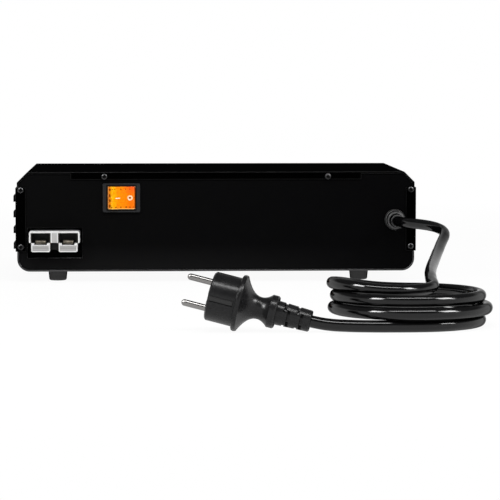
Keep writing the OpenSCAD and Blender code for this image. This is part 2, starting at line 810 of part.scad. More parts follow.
module plug_profile() {
    x1 = plug_block;
    x2 = x1 + plug_flange_t;
    x3 = x2 + plug_waist_len;
    x4 = x3 + plug_collar_len;
    rim = plug_flange_d / 2;
    polygon(concat(
        [[0, 0], [plug_d / 2 - 1, 0], [plug_d / 2, 1], [plug_d / 2, x1], [rim - 1.2, x1],
            [rim - 0.3, x1 + 0.5], [rim, x1 + plug_flange_t / 2], [rim - 0.4, x2 - 0.5]],
        [for (i = [0 : 12]) [waist_r(i / 12), x2 + plug_waist_len * i / 12]],
        [[plug_collar_d / 2, x4 - 1], [plug_collar_d / 2 - 0.8, x4]],
        [[plug_tail_d / 2, x4], [plug_tip_d / 2, plug_len - 0.6], [plug_tip_d / 2 - 0.6, plug_len],
            [0, plug_len]]
    ));
}

// A pair of slots across the tail, which let it bend with the cord
module tail_slots(share, angle) {
    reach = plug_tail_d;
    for (side = [0, 180]) translate([plug_len - plug_tail_len * (1 - share), 0, 0])
        rotate([angle + side + tail_slot_roll, 0, 0]) rotate([0, 90, 0])
            linear_extrude(tail_slot_w, center = true) difference() {
                polygon([[0, 0], reach * [cos(tail_slot_reach), -sin(tail_slot_reach)], [reach, 0],
                    reach * [cos(tail_slot_reach), sin(tail_slot_reach)]]);
                circle(plug_tip_d / 2 - tail_slot_depth);
            }
}

module plug_body() {
    color("#101011") at_plug() difference() {
        rotate([0, 90, 0]) rotate_extrude() plug_profile();
        // channels for the earth clips, on both sides
        for (side = [-1, 1])
            translate([-nudge, side * (plug_d / 2 - earth_depth / 2 + nudge / 2)
                - (earth_depth + nudge) / 2, -earth_w / 2])
                cube([plug_block - 1 + nudge, earth_depth + nudge, earth_w]);
        // guide grooves, in line with the pins
        for (side = [-1, 1])
            translate([-nudge, -2.7, side * (plug_d / 2 - 0.6) - 1.1])
                cube([plug_block - 4 + nudge, 5.4, 2.2]);
        for (side = [-1, 1]) translate([-nudge, 0, side * pin_pitch / 2]) rotate([0, 90, 0])
            cylinder(d = pin_root_d, h = pin_root + nudge);
        translate([plug_len - cord_root, 0, 0]) rotate([0, 90, 0])
            cylinder(d = cord_d, h = cord_root + nudge);
        for (slot = TAIL_SLOTS) tail_slots(slot[0], slot[1]);
    }
}

module plug_pins() {
    r = pin_d / 2;
    color("#d5d6d8") at_plug() for (side = [-1, 1])
        translate([pin_root, 0, side * pin_pitch / 2]) rotate([0, -90, 0]) rotate_extrude()
            polygon(concat(
                [[0, 0], [pin_root_d / 2, 0], [pin_root_d / 2, pin_root], [r, pin_root]],
                [for (a = [0 : 15 : 90]) [r * cos(a), pin_root + pin_len - r * (1 - sin(a))]]
            ));
}

module plug_earth_clips() {
    depth = plug_d / 2 - earth_depth;
    color("#c9cbcd") at_plug() for (side = [-1, 1])
        translate([0.6, side * (depth + earth_t / 2) - earth_t / 2, -earth_w / 2 + 0.6])
            cube([plug_block - 2.2, earth_t, earth_w - 1.2]);
}

// Front panel fittings

front_mid_z = low_z + case_h / 2;
window_r = 3;
button_room = 0.35;
button_skirt = 2.4;
BUTTON_XS = [48, 82];
LIGHT_XS = [-12, 0, 12];
CONTROL_XS = [window_x - window_w / 2 - 6, BUTTON_XS[1] + 14];
control_h = 40;
control_edge = 4;        // from a standoff's axis to the board's upper or lower edge
control_end = 5;         // from a standoff's axis to the board's nearer end
control_depth = 16;      // from the front panel's face to the control board
key_w = 8;               // size of the square key switches behind the push buttons
key_room = 0.2;          // between a key switch and its button pressed home
light_z = front_mid_z;
window_lip = 1.6;
control_y = front_y - control_depth;

module display_window() {
    color("#101418") in_case() translate([window_x, 0, front_mid_z]) {
        along_y(front_y - panel_t - window_lip, front_y - 0.4)
            rounded(window_w - 2 * slip, window_h - 2 * slip, window_r);
        along_y(front_y - panel_t - window_lip, front_y - panel_t)
            rounded(window_w + 6, window_h + 6, window_r);
    }
}

module display_module() {
    top = front_y - panel_t - window_lip;
    color("#1d3a2c") in_case() translate([window_x, 0, front_mid_z]) difference() {
        along_y(control_y, top) rounded(window_w + 2, window_h + 2, 1);
        along_y(top - 0.8, top + nudge) rounded(window_w - 6, window_h - 6, 1);
    }
}

// A push button: its cap stands out of the panel, its flange stays behind it
module push_button(x) {
    r = button_d / 2;
    in_case() translate([x, front_y, front_mid_z]) rotate([-90, 0, 0])
        rotate_extrude() polygon([
            [0, -panel_t - button_skirt], [r + 1.5, -panel_t - button_skirt],
            [r + 1.5, -panel_t - 0.2], [r, -panel_t - 0.2], [r, button_out - 0.6],
            [r - 0.6, button_out], [0, button_out]
        ]);
}

module mode_button() {
    color("#5a5c5f") push_button(BUTTON_XS[0]);
}

module start_button() {
    color("#5a5c5f") push_button(BUTTON_XS[1]);
}

module indicator_lights() {
    r = light_d / 2;
    color("#7fae4a") in_case() for (x = LIGHT_XS) translate([x, front_y, light_z])
        rotate([-90, 0, 0]) rotate_extrude() polygon(concat(
            [[0, touch - control_depth], [r, touch - control_depth], [r, 0]],
            [for (a = [15 : 15 : 90]) [r * cos(a), r * 0.5 * sin(a)]]
        ));
}

module control_board() {
    x0 = CONTROL_XS[0] - control_end;
    x1 = CONTROL_XS[1] + control_end;
    color("#1e5a34") in_case()
        translate([x0, control_y - board_t, front_mid_z - control_h / 2])
            cube([x1 - x0, board_t, control_h]);
    // two key switches that the push buttons act on
    color("#202022") in_case() for (x = BUTTON_XS)
        translate([x - key_w / 2, control_y - touch, front_mid_z - key_w / 2]) cube([key_w,
            control_depth - panel_t - button_skirt - button_travel - key_room, key_w]);
}

module control_standoffs() {
    color("#c8b06a") in_case() for (x = CONTROL_XS, side = [-1, 1])
        translate([x, control_y, front_mid_z + side * (control_h / 2 - control_edge)])
            rotate([-90, 0, 0])
            cylinder(r = 3, h = front_y - panel_t - control_y, $fn = 6);
}

// Inside

fan_y = 0;
fan_x1 = right_x - sheet;
fan_x0 = fan_x1 - fan_t;

board_x0 = left_x + board_side_room;
board_x1 = fan_x0 - board_fan_room;
board_y = 0;
board_z = floor_z + standoff_h;
board_top = board_z + board_t;
board_screw_d = 3;
board_screw_head_d = 5.4;
board_screw_len = 4.5;
board_edge = 6;
foot_room = 14;          // from a foot's axis to the board's nearest screw
board_d = case_d - 2 * (foot_end_inset + foot_room - board_edge);
BOARD_POINTS = [for (x = [board_x0 + board_edge, board_x1 - board_edge], side = [-1, 1])
    [x, board_y + side * (board_d / 2 - board_edge)]];

part_gap = 3;            // least room between two large parts on the board
lead_reach = 20;         // from a contact's axis to where its lead meets the board
dc_wire_r = 2.6;
package_t = 5;
package_w = 16;
package_h = 21;
package_lift = 8;        // length of a power transistor's legs
package_end = 8;         // from a heat sink's end to its nearest power transistor
package_room = 6;        // from the capacitors to the power transistors
sink_w = 26;
sink_len = 104;
sink_base = 5;
sink_fins = 6;
sink_fin_t = 1.6;
package_pitch = (sink_len - 2 * package_end - package_w) / 3;
core_w = 56;
core_d = 42;
core_h = 46;
core_leg = 11;
core_room = 24;          // from the output heat sink to the core
winding_over = 9;        // how far the winding stands out of the core at each end
core_back = 17;          // from the board's rear edge to the winding
choke_r = 13;
choke_wire_r = 6;
choke_room = 7;          // from the winding to the choke
cap_r = 11;
cap_h = 34;
cap_pitch = 30;
cap_shift = 18;          // of the middle capacitor from the board's middle
fuse_len = 30;
fuse_w = 12;
fuse_h = 10;
fuse_wall = 2;

output_sink_x = dc_x + pole_x + lead_reach + dc_wire_r + part_gap + package_t;
choke_x = output_sink_x + sink_w + part_gap + choke_r + choke_wire_r;
core_x = output_sink_x + sink_w + core_room + core_w / 2;
cap_x = core_x + core_w / 2 + part_gap + cap_r;
input_sink_x = cap_x + cap_r + package_room + package_t;
core_y = board_y - board_d / 2 + core_back + winding_over + core_d / 2;
choke_y = core_y + core_d / 2 + winding_over + choke_room + choke_r + choke_wire_r;
fuse_x = input_sink_x - fuse_wall - fuse_len;
fuse_y = board_y - sink_len / 2 - fuse_w / 2;

module main_board() {
    color("#23603a") in_case() difference() {
        translate([board_x0, board_y - board_d / 2, board_z])
            cube([board_x1 - board_x0, board_d, board_t]);
        for (p = BOARD_POINTS) translate([p[0], p[1], board_z - nudge])
            cylinder(d = board_screw_d + 2 * slip, h = board_t + 2 * nudge);
    }
}

module board_standoffs() {
    color("#c8b06a") in_case() for (p = BOARD_POINTS) translate([p[0], p[1], floor_z])
        difference() {
            cylinder(r = 3.2, h = standoff_h, $fn = 6);
            translate([0, 0, -nudge])
                cylinder(d = board_screw_d + slip, h = standoff_h + 2 * nudge);
        }
}

// Screws from above and below hold the board on its standoffs
module board_screws() {
    color("#c3c5c7") in_case() for (p = BOARD_POINTS) {
        translate([p[0], p[1], board_top]) cylinder(d = board_screw_head_d, h = 2);
        translate([p[0], p[1], low_z - 1.6]) cylinder(d = board_screw_head_d, h = 1.6);
        for (z = [board_top + 0.5 - board_screw_len, low_z - 0.5])
            translate([p[0], p[1], z]) cylinder(d = board_screw_d, h = board_screw_len);
    }
}

// A finned extrusion that stands on the board, with its flat side towards -X
module heat_sink(x) {
    pitch = (sink_h - sink_fin_t) / (sink_fins - 1);
    color("#a7a9ab") in_case() translate([x, board_y - sink_len / 2, board_top]) {
        cube([sink_base, sink_len, sink_h]);
        for (i = [0 : sink_fins - 1]) translate([0, 0, i * pitch])
            cube([sink_w, sink_len, sink_fin_t]);
    }
}

module heat_sink_input() { heat_sink(input_sink_x); }
module heat_sink_output() { heat_sink(output_sink_x); }

module power_transistors() {
    leg_w = 1.2;
    leg_t = 0.8;
    color("#1b1b1c") in_case() for (x = [input_sink_x, output_sink_x], i = [-1.5 : 1.5])
        translate([x - package_t, board_y + i * package_pitch, board_top]) {
            translate([0, -package_w / 2, package_lift]) cube([package_t, package_w, package_h]);
            for (k = [-1 : 1]) translate([2, k * package_w / 3 - leg_w / 2, 0])
                cube([leg_t, leg_w, package_lift + leg_t]);
        }
}

module transformer_core() {
    color("#3b3a3c") in_case() translate([core_x, core_y, board_top]) difference() {
        translate([-core_w / 2, -core_d / 2, 0]) cube([core_w, core_d, core_h]);
        for (side = [-1, 1]) translate([side * window_mid, 0, core_h / 2])
            cube([window_span, core_d + 2, core_h - 2 * core_leg], center = true);
    }
}
window_span = core_w / 2 - 1.5 * core_leg;
window_mid = core_leg / 2 + window_span / 2;

module transformer_winding() {
    in_w = core_leg + 2 * seat;
    out_w = core_leg + 2 * window_span - 2 * seat;
    color("#c9a227") in_case() translate([core_x, core_y, board_top + core_leg]) difference() {
        linear_extrude(core_h - 2 * core_leg - seat)
            rounded(out_w, core_d + 2 * winding_over, winding_over * 2 / 3);
        translate([-in_w / 2, -core_d / 2 - seat, -nudge])
            cube([in_w, core_d + 2 * seat, core_h]);
    }
}

module output_choke() {
    color("#8a3f1d") in_case() translate([choke_x, choke_y, board_top + choke_wire_r])
        rotate_extrude() translate([choke_r, 0]) circle(choke_wire_r);
}

module bulk_capacitors() {
    color("#26303a") in_case() for (i = [-1 : 1])
        translate([cap_x, board_y + cap_shift + i * cap_pitch, board_top]) rotate_extrude()
            polygon([[0, 0], [cap_r, 0], [cap_r, cap_h - 1], [cap_r - 1, cap_h], [0, cap_h]]);
}

module fuse_holder() {
    color("#2b2b2d") in_case() translate([fuse_x, fuse_y, board_top]) difference() {
        cube([fuse_len, fuse_w, fuse_h]);
        translate([2 * fuse_wall, fuse_wall, 2 * fuse_wall])
            cube([fuse_len - 4 * fuse_wall, fuse_w - 2 * fuse_wall, fuse_h]);
    }
}

fan_bore = fan_size - 4;
fan_hub_d = 22;
fan_hole_pitch = fan_size - 10;
FAN_POINTS = [for (sy = [-1, 1], sz = [-1, 1]) [sy * fan_hole_pitch / 2, sz * fan_hole_pitch / 2]];
spindle_d = 3;
fan_screw_len = 9;

module fan_frame() {
    color("#18181a") in_case() translate([0, fan_y, plate_mid_z]) difference() {
        union() {
            along_x(fan_x0, fan_x1) difference() {
                rounded(fan_size, fan_size, 4);
                circle(d = fan_bore);
            }
            // the motor's seat and its three arms, at the inner face
            along_x(fan_x0, fan_x0 + 1.6) {
                circle(d = fan_hub_d);
                for (i = [0 : 2]) rotate(120 * i + 90) translate([0, -1.5])
                    square([fan_bore / 2 + 1, 3]);
            }
            along_x(fan_x0, fan_x1 - 5) circle(d = spindle_d);
        }
        for (p = FAN_POINTS) translate([fan_x0 - nudge, p[0], p[1]]) rotate([0, 90, 0])
            cylinder(d = hole_d, h = fan_t + 2 * nudge);
    }
}

// Hub and blades turn on the spindle, between the frame's arms and the intake
module fan_rotor() {
    x0 = fan_x0 + 2.4;
    x1 = fan_x1 - 2.4;
    blade = fan_bore / 2 - 0.8;
    color("#222225") in_case() translate([0, fan_y, plate_mid_z]) difference() {
        union() {
            along_x(x0, x1) circle(d = fan_hub_d - 1);
            for (i = [0 : 6]) rotate([360 * i / 7, 0, 0])
                translate([(x0 + x1) / 2, 0, 0]) rotate([0, 0, 38])
                    translate([-5.4, -0.6, fan_hub_d / 2 - 2]) cube([10.8, 1.2, blade - fan_hub_d / 2 + 1]);
        }
        along_x(x0 - nudge, x1 - 1.5) circle(d = spindle_d + 0.1);
    }
}

module fan_screws() {
    color("#2a2a2c") in_case() for (p = FAN_POINTS)
        translate([right_x + tab_t, fan_y + p[0], plate_mid_z + p[1]]) rotate([0, 90, 0]) {
            translate([0, 0, -fan_screw_len]) cylinder(d = screw_d, h = fan_screw_len + 0.5);
            cylinder(d = screw_head_d, h = fan_screw_head_h);
        }
}

// Wires inside the case, each a tube along its own short route

// Each lies on its contact's tail with a flat of its tube, and ends on the board
dc_lead_run = 26;        // from a contact's end to where its lead meets the board, front to back
dc_lead_rise = 7;
// The lead's bend between the two, in shares of its reach, its run and its rise
DC_BEND = [[0.03, 0.15, 0.17], [0.15, 0.38, 0.71], [0.45, 0.65, 1], [0.8, 0.88, 0.43]];

module dc_leads() {
    back_y = rear_y + dc_depth + contact_tail;
    z = dc_z - notch_h + contact_t + dc_wire_r * cos(180 / cord_sides);
    for (side = [-1, 1]) color(side < 0 ? "#b3261e" : "#151515") in_case()
        translate([dc_x + side * pole_x, back_y, 0]) tube(concat(
            [[0, 0.6 - contact_tail, z], [0, -0.6, z]],
            [for (b = DC_BEND) [b[0] * lead_reach, b[1] * dc_lead_run, z + b[2] * dc_lead_rise]],
            [[0.99 * lead_reach, 0.995 * dc_lead_run, (z + board_top) / 2],
                [lead_reach, dc_lead_run, board_top]]
        ), dc_wire_r);
}

mains_wire_r = 1.3;
mains_wire_gap = 4;      // between the two wires where they leave the gland
mains_bend = 12;         // size of the wires' bends at both ends

module mains_leads() {
    y0 = rear_y + panel_t + gland_inside + nudge;
    x1 = switch_x + terminal_x;
    y1 = rear_y + switch_depth + terminal_len;
    for (i = [0, 1]) let (z0 = gland_z + 3 - mains_wire_gap * i, z1 = switch_z + terminal_z * (1 - 2 * i))
        color(i == 0 ? "#6b3a1e" : "#2451a3") in_case() tube([[gland_x, y0, z0],
            [gland_x, y0 + mains_bend / 2, z0], [gland_x - mains_bend / 2, y0 + mains_bend, z0 + 2],
            [gland_x - mains_bend * 5 / 3, y0 + mains_bend * 7 / 6, z1],
            [x1 + mains_bend * 4 / 3, y1 + mains_bend * 5 / 6, z1],
            [x1 + mains_bend / 2, y1 + mains_bend * 2 / 3, z1], [x1 + 0.5, y1 + mains_bend / 3, z1],
            [x1, y1, z1]], mains_wire_r);
}

base_tray();
top_cover();
rear_panel();
front_panel();
louvred_side_plate();
fan_side_plate();
foot_rear_left();
foot_rear_right();
foot_front_left();
foot_front_right();
foot_screws();
foot_nuts();
case_screws();
switch_housing();
switch_rocker();
switch_terminals();
dc_connector_housing();
dc_contacts();
connector_bracket();
cable_gland();
gland_nut();
strain_relief();
cord_lead();
cord_coil();
cord_tail();
plug_body();
plug_pins();
plug_earth_clips();
display_window();
display_module();
mode_button();
start_button();
indicator_lights();
control_board();
control_standoffs();
main_board();
board_standoffs();
board_screws();
heat_sink_input();
heat_sink_output();
power_transistors();
transformer_core();
transformer_winding();
output_choke();
bulk_capacitors();
fuse_holder();
fan_frame();
fan_rotor();
fan_screws();
dc_leads();
mains_leads();
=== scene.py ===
"""Looks of a workshop battery charger, seen from its rear panel. Metres, +Z up, the rear panel
faces -Y."""

import json
import math

import bmesh
import bpy
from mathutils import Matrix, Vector
from mathutils.bvhtree import BVHTree


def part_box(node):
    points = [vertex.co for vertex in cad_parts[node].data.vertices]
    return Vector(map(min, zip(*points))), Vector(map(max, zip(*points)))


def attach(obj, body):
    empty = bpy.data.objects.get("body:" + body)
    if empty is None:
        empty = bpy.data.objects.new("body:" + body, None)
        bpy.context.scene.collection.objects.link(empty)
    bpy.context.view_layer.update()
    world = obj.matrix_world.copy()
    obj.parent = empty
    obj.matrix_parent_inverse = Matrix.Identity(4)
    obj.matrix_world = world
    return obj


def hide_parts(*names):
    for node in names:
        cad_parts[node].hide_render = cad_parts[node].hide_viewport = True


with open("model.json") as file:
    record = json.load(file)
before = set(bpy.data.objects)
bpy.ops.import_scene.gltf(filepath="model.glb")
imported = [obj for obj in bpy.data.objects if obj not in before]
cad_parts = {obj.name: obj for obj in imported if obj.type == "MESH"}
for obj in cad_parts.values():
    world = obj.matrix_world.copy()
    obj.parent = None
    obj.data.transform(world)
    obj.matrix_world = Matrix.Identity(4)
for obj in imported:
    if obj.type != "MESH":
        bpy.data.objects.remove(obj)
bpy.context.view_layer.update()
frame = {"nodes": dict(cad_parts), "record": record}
NODES = frame["nodes"]
MM = 0.001


def linked(name, data):
    """An object with this data, in the scene."""
    piece = bpy.data.objects.new(name, data)
    bpy.context.scene.collection.objects.link(piece)
    return piece


def mesh_piece(name, edit, material):
    mesh = bpy.data.meshes.new(name)
    edit.to_mesh(mesh)
    edit.free()
    mesh.materials.append(material)
    return linked(name, mesh)


# Camera: a long lens, somewhat above the case

PHOTO_PX = 500
SENSOR_MM = 36
FOCAL_PX = 2529.5
PANEL_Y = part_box("rear_panel")[0].y
CAMERA_AT = Vector((-60.6 * MM, PANEL_Y - 2.2, 190 * MM))
CAMERA_AIM = Vector((30.2 * MM, PANEL_Y, 27.3 * MM))
FAR_CLIP = 50


def make_camera():
    data = bpy.data.cameras.new("camera")
    data.sensor_width = SENSOR_MM
    data.lens = FOCAL_PX / PHOTO_PX * SENSOR_MM
    data.clip_end = FAR_CLIP
    camera = linked("camera", data)
    camera.location = CAMERA_AT
    camera.rotation_euler = (CAMERA_AIM - CAMERA_AT).to_track_quat("-Z", "Y").to_euler()
    bpy.context.scene.camera = camera


# Mains lead: one curve along the route of the CAD tubes and coil, in millimetres

CORD_D = 8.8
LEAD = [
    (157, -91, 53.6), (157, -101, 53.6), (157, -112, 53.6), (159, -124.4, 53.6),
    (164.6, -135.5, 53.4), (172.4, -143.5, 52.9), (181.4, -153.2, 51.9), (187.3, -165.1, 50.4),
    (189.5, -179, 48.4), (188.2, -194, 46.2), (184.8, -210, 43.7), (181, -228, 41.2),
    (177.2, -248, 38.9), (173.4, -268, 37), (170, -288, 35.6), (166.7, -308, 34.6),
    (163.5, -328, 33.9), (160.4, -348, 33.4), (157.5, -368, 33), (154.8, -388, 32.6),
    (152.4, -408, 32.2), (150.5, -428, 31.5), (149, -446, 30.3), (148.3, -462, 29.2),
    (146.1, -474.6, 28.4), (139.7, -485.7, 27.9), (129.9, -493.9, 27.7), (117.9, -498.2, 27.9),
    (105.1, -498.2, 28.6), (93.7, -494.1, 29.9), (83.7, -485.8, 30.8), (77.2, -474.6, 31.1),
    (75, -463.1, 30.8), (76.7, -450.5, 30),
]
TAIL = [(115, -517.2, 4.4), (99, -516.2, 4.4), (83, -514.4, 4.6), (68, -512.2, 5.4),
        (56, -510.3, 7.5), (48, -509.2, 9.4)]
COIL_X, COIL_Y, COIL_R, COIL_SWING = 130.5, -465, 54, 2.5
COIL_START, COIL_END, COIL_STEP, COIL_LEVELS = 150, -810, -20, 3
SWING_PHASE = 0.53      # turns from the coil's start to where it is narrowest
DROPS_PER_TURN = 4      # the lead goes down a level over a quarter of each turn


def coil_point(angle):
    """A point of the coil. Its turns go down a level after each left end, and swing in and out."""
    turns = (COIL_START - angle) / 360
    since_left = (180 - angle) / 360
    level = math.floor(since_left)
    share = min(1, (since_left - level) * DROPS_PER_TURN)
    drop = max(0, level + share * share * (3 - 2 * share))
    radius = COIL_R - COIL_SWING * math.cos(math.pi * (turns - SWING_PHASE))
    a = math.radians(angle)
    return (COIL_X + radius * math.cos(a), COIL_Y + radius * math.sin(a),
            CORD_D / 2 + CORD_D * max(0, COIL_LEVELS - drop))


def curve_through(name, points, radius, material):
    data = bpy.data.curves.new(name, "CURVE")
    data.dimensions = "3D"
    data.bevel_depth = radius
    data.bevel_resolution = 7
    data.resolution_u = 5
    data.use_fill_caps = True
    spline = data.splines.new("BEZIER")
    spline.bezier_points.add(len(points) - 1)
    for knot, point in zip(spline.bezier_points, points):
        knot.co = Vector(point) * MM
        knot.handle_left_type = knot.handle_right_type = "AUTO"
    data.materials.append(material)
    return linked(name, data)


# Materials: each is one Principled shader, with noise for its tint, its gloss and its grain


def wire(tree, a, b):
    tree.links.new(a, b)


def shader_of(material):
    tree = material.node_tree
    return tree, tree.nodes["Principled BSDF"]


def noise_node(tree, scale, detail=3.0, stretch=(1, 1, 1)):
    """Noise in the piece's own space, in metres, so it stays on the piece as it moves."""
    where = tree.nodes.new("ShaderNodeTexCoord")
    mapping = tree.nodes.new("ShaderNodeMapping")
    mapping.inputs["Scale"].default_value = stretch
    noise = tree.nodes.new("ShaderNodeTexNoise")
    noise.inputs["Scale"].default_value = scale
    noise.inputs["Detail"].default_value = detail
    wire(tree, where.outputs["Object"], mapping.inputs["Vector"])
    wire(tree, mapping.outputs["Vector"], noise.inputs["Vector"])
    return noise.outputs["Fac"]


def ranged(tree, value, low, high, start=0.3, end=0.7):
    node = tree.nodes.new("ShaderNodeMapRange")
    node.inputs["From Min"].default_value = start
    node.inputs["From Max"].default_value = end
    node.inputs["To Min"].default_value = low
    node.inputs["To Max"].default_value = high
    wire(tree, value, node.inputs["Value"])
    return node.outputs["Result"]


def blended(tree, value, first, second):
    node = tree.nodes.new("ShaderNodeMix")
    node.data_type = "RGBA"
    node.inputs[6].default_value = (*first, 1)
    node.inputs[7].default_value = (*second, 1)
    wire(tree, value, node.inputs[0])
    return node.outputs[2]


def combined(tree, operation, first, *others):
    """Joins values two by two with one operation, such as MULTIPLY or MAXIMUM."""
    for other in others:
        node = tree.nodes.new("ShaderNodeMath")
        node.operation = operation
        wire(tree, first, node.inputs[0])
        wire(tree, other, node.inputs[1])
        first = node.outputs[0]
    return first


def place_axes(tree):
    """The x, y and z of a point on the piece, in metres, in the piece's own space."""
    where = tree.nodes.new("ShaderNodeTexCoord")
    parts = tree.nodes.new("ShaderNodeSeparateXYZ")
    wire(tree, where.outputs["Object"], parts.inputs["Vector"])
    return parts.outputs["X"], parts.outputs["Y"], parts.outputs["Z"]


def within(tree, value, low, high, soft=0.15 * MM):
    """1 from low to high, in metres, and 0 outside."""
    rise = ranged(tree, value, 0, 1, low - soft, low + soft)
    fall = ranged(tree, value, 1, 0, high - soft, high + soft)
    return combined(tree, "MULTIPLY", rise, fall)


def painted(tree, shader, mask, color):
    """Lays a colour over what the shader's Base Color has so far, where the mask is 1."""
    base = shader.inputs["Base Color"]
    node = tree.nodes.new("ShaderNodeMix")
    node.data_type = "RGBA"
    wire(tree, mask, node.inputs[0])
    wire(tree, base.links[0].from_socket, node.inputs[6])
    if isinstance(color, tuple):
        node.inputs[7].default_value = (*color, 1)
    else:
        wire(tree, color, node.inputs[7])
    wire(tree, node.outputs[2], base)


def bumped(tree, shader, height, depth_mm, strength=1.0):
    """Adds a bump to the shader's normal. Several calls stack."""
    bump = tree.nodes.new("ShaderNodeBump")
    bump.inputs["Strength"].default_value = strength
    bump.inputs["Distance"].default_value = depth_mm * MM
    wire(tree, height, bump.inputs["Height"])
    normal = shader.inputs["Normal"]
    if normal.links:
        wire(tree, normal.links[0].from_socket, bump.inputs["Normal"])
    wire(tree, bump.outputs["Normal"], normal)


def look(name, color, rough, metal=0.0, specular=0.5, tint=0.12, tint_scale=40, gloss=0.06,
         gloss_scale=90, grain=(), stretch=(1, 1, 1), matt_edge_on=None, edge_on_level=0.0, **more):
    """grain lists (noise scale per metre, depth in mm); more holds further Principled inputs.
    matt_edge_on gives the range over which the gloss fades to edge_on_level as the surface turns
    edge on, as on textured paint."""
    material = bpy.data.materials.new(name)
    material.use_nodes = True
    tree, shader = shader_of(material)
    shader.inputs["Metallic"].default_value = metal
    shader.inputs["Specular IOR Level"].default_value = specular
    for socket, value in more.items():
        shader.inputs[socket.replace("_", " ")].default_value = value
    dark = [c * (1 - tint) for c in color]
    light = [min(1.0, c * (1 + tint)) for c in color]
    spots = noise_node(tree, tint_scale, stretch=stretch)
    wire(tree, blended(tree, ranged(tree, spots, 0, 1), dark, light), shader.inputs["Base Color"])
    sheen = noise_node(tree, gloss_scale, 4.0, stretch)
    wire(tree, ranged(tree, sheen, rough - gloss, rough + gloss), shader.inputs["Roughness"])
    if matt_edge_on:
        weight = tree.nodes.new("ShaderNodeLayerWeight")
        level = ranged(tree, weight.outputs["Facing"], specular, edge_on_level, *matt_edge_on)
        wire(tree, level, shader.inputs["Specular IOR Level"])
    for scale, depth in grain:
        bumped(tree, shader, noise_node(tree, scale, 2.0, stretch), depth)
    return material


POWDER = ((650, 0.03), (2600, 0.012))
MOULDED = ((1400, 0.012),)

LOOKS = {
    "case_paint": look("case_paint", (0.0016, 0.0016, 0.0017), 0.42, specular=0.07, gloss=0.02,
                       grain=POWDER, matt_edge_on=(0.35, 0.75)),
    "foot_rubber": look("foot_rubber", (0.004, 0.004, 0.004), 0.32, specular=0.42,
                        grain=((1100, 0.02),), matt_edge_on=(0.15, 0.6)),
    "zinc_steel": look("zinc_steel", (0.55, 0.57, 0.6), 0.3, metal=1.0, grain=((900, 0.01),)),
    "black_screws": look("black_screws", (0.003, 0.003, 0.0032), 0.4, specular=0.04,
                         grain=((1500, 0.01),)),
    "brass": look("brass", (0.72, 0.5, 0.2), 0.28, metal=1.0, grain=((900, 0.008),)),
    "bracket_steel": look("bracket_steel", (0.0008, 0.0008, 0.0008), 0.5, specular=0.02,
                          grain=POWDER),
    "gland_plastic": look("gland_plastic", (0.003, 0.003, 0.0032), 0.4, specular=0.1,
                          grain=MOULDED),
    "cord_rubber": look("cord_rubber", (0.002, 0.002, 0.0022), 0.12, gloss=0.02, specular=0.36,
                        grain=((500, 0.004),), matt_edge_on=(0.4, 0.75), edge_on_level=0.004),
    "plug_rubber": look("plug_rubber", (0.0075, 0.0075, 0.008), 0.27, gloss=0.05, specular=0.25,
                        grain=MOULDED, matt_edge_on=(0.5, 0.9)),
    "nickel": look("nickel", (0.24, 0.234, 0.228), 0.12, metal=1.0, tint=0.05, gloss=0.03,
                   grain=((500, 0.01),)),
    "display_glass": look("display_glass", (0.004, 0.007, 0.009), 0.08, gloss=0.02, specular=0.35),
    "display_plastic": look("display_plastic", (0.05, 0.09, 0.07), 0.45, grain=MOULDED),
    "button_rubber": look("button_rubber", (0.07, 0.072, 0.076), 0.55, grain=((1600, 0.02),)),
    "light_lens": look("light_lens", (0.25, 0.5, 0.12), 0.2, Transmission_Weight=0.4,
                       Coat_Weight=0.4),
    "circuit_board": look("circuit_board", (0.01, 0.1, 0.035), 0.3, tint=0.25, tint_scale=300,
                          grain=((1200, 0.02),)),
    "sink_aluminium": look("sink_aluminium", (0.7, 0.71, 0.73), 0.34, metal=1.0,
                           stretch=(1, 0.05, 1), grain=((900, 0.03),)),
    "package_epoxy": look("package_epoxy", (0.012, 0.012, 0.012), 0.5, grain=((1500, 0.02),)),
    "ferrite": look("ferrite", (0.03, 0.03, 0.033), 0.6, grain=((700, 0.05),)),
    "winding_tape": look("winding_tape", (0.7, 0.45, 0.05), 0.3, stretch=(0.1, 0.1, 1),
                         grain=((600, 0.05),)),
    "copper_wire": look("copper_wire", (0.5, 0.16, 0.05), 0.3, metal=0.8, grain=((900, 0.05),)),
    "capacitor_sleeve": look("capacitor_sleeve", (0.01, 0.02, 0.05), 0.25, grain=((500, 0.02),)),
    "fan_plastic": look("fan_plastic", (0.01, 0.01, 0.0105), 0.45, grain=MOULDED),
    "wire_jacket": look("wire_jacket", (0.28, 0.02, 0.015), 0.35, grain=MOULDED),
}

# Rear panel, in millimetres: black paint, with painted light that makes it a little lighter towards
# the left and more so low on the left, and a painted highlight on the connector cut-out's lower edge

FOOT_FADE = 22          # how far up the panel the painted light low on the left goes
CUT_BELOW = 6.0         # from the connector down to the cut-out's lower edge
HIGHLIGHT_FROM = 16          # from the connector's left side to where the painted highlight on that edge begins


def panel_look():
    material = look("panel_paint", (0.001, 0.001, 0.0012), 0.55, specular=0.014,
                    grain=((900, 0.02), (3200, 0.014)))
    tree, shader = shader_of(material)
    low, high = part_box("rear_panel")
    x, _, z = place_axes(tree)
    # painted light: the black a little lighter towards the left
    left = ranged(tree, x, 1, 0, low.x, high.x)
    painted(tree, shader, left, (0.0023, 0.0023, 0.0024))
    # painted light: lighter still low on the left
    foot = ranged(tree, z, 1, 0, low.z, low.z + FOOT_FADE * MM)
    painted(tree, shader, combined(tree, "MULTIPLY", foot, ranged(tree, left, 0, 1, 0, 0.6)),
            (0.0062, 0.0062, 0.0064))
    return material


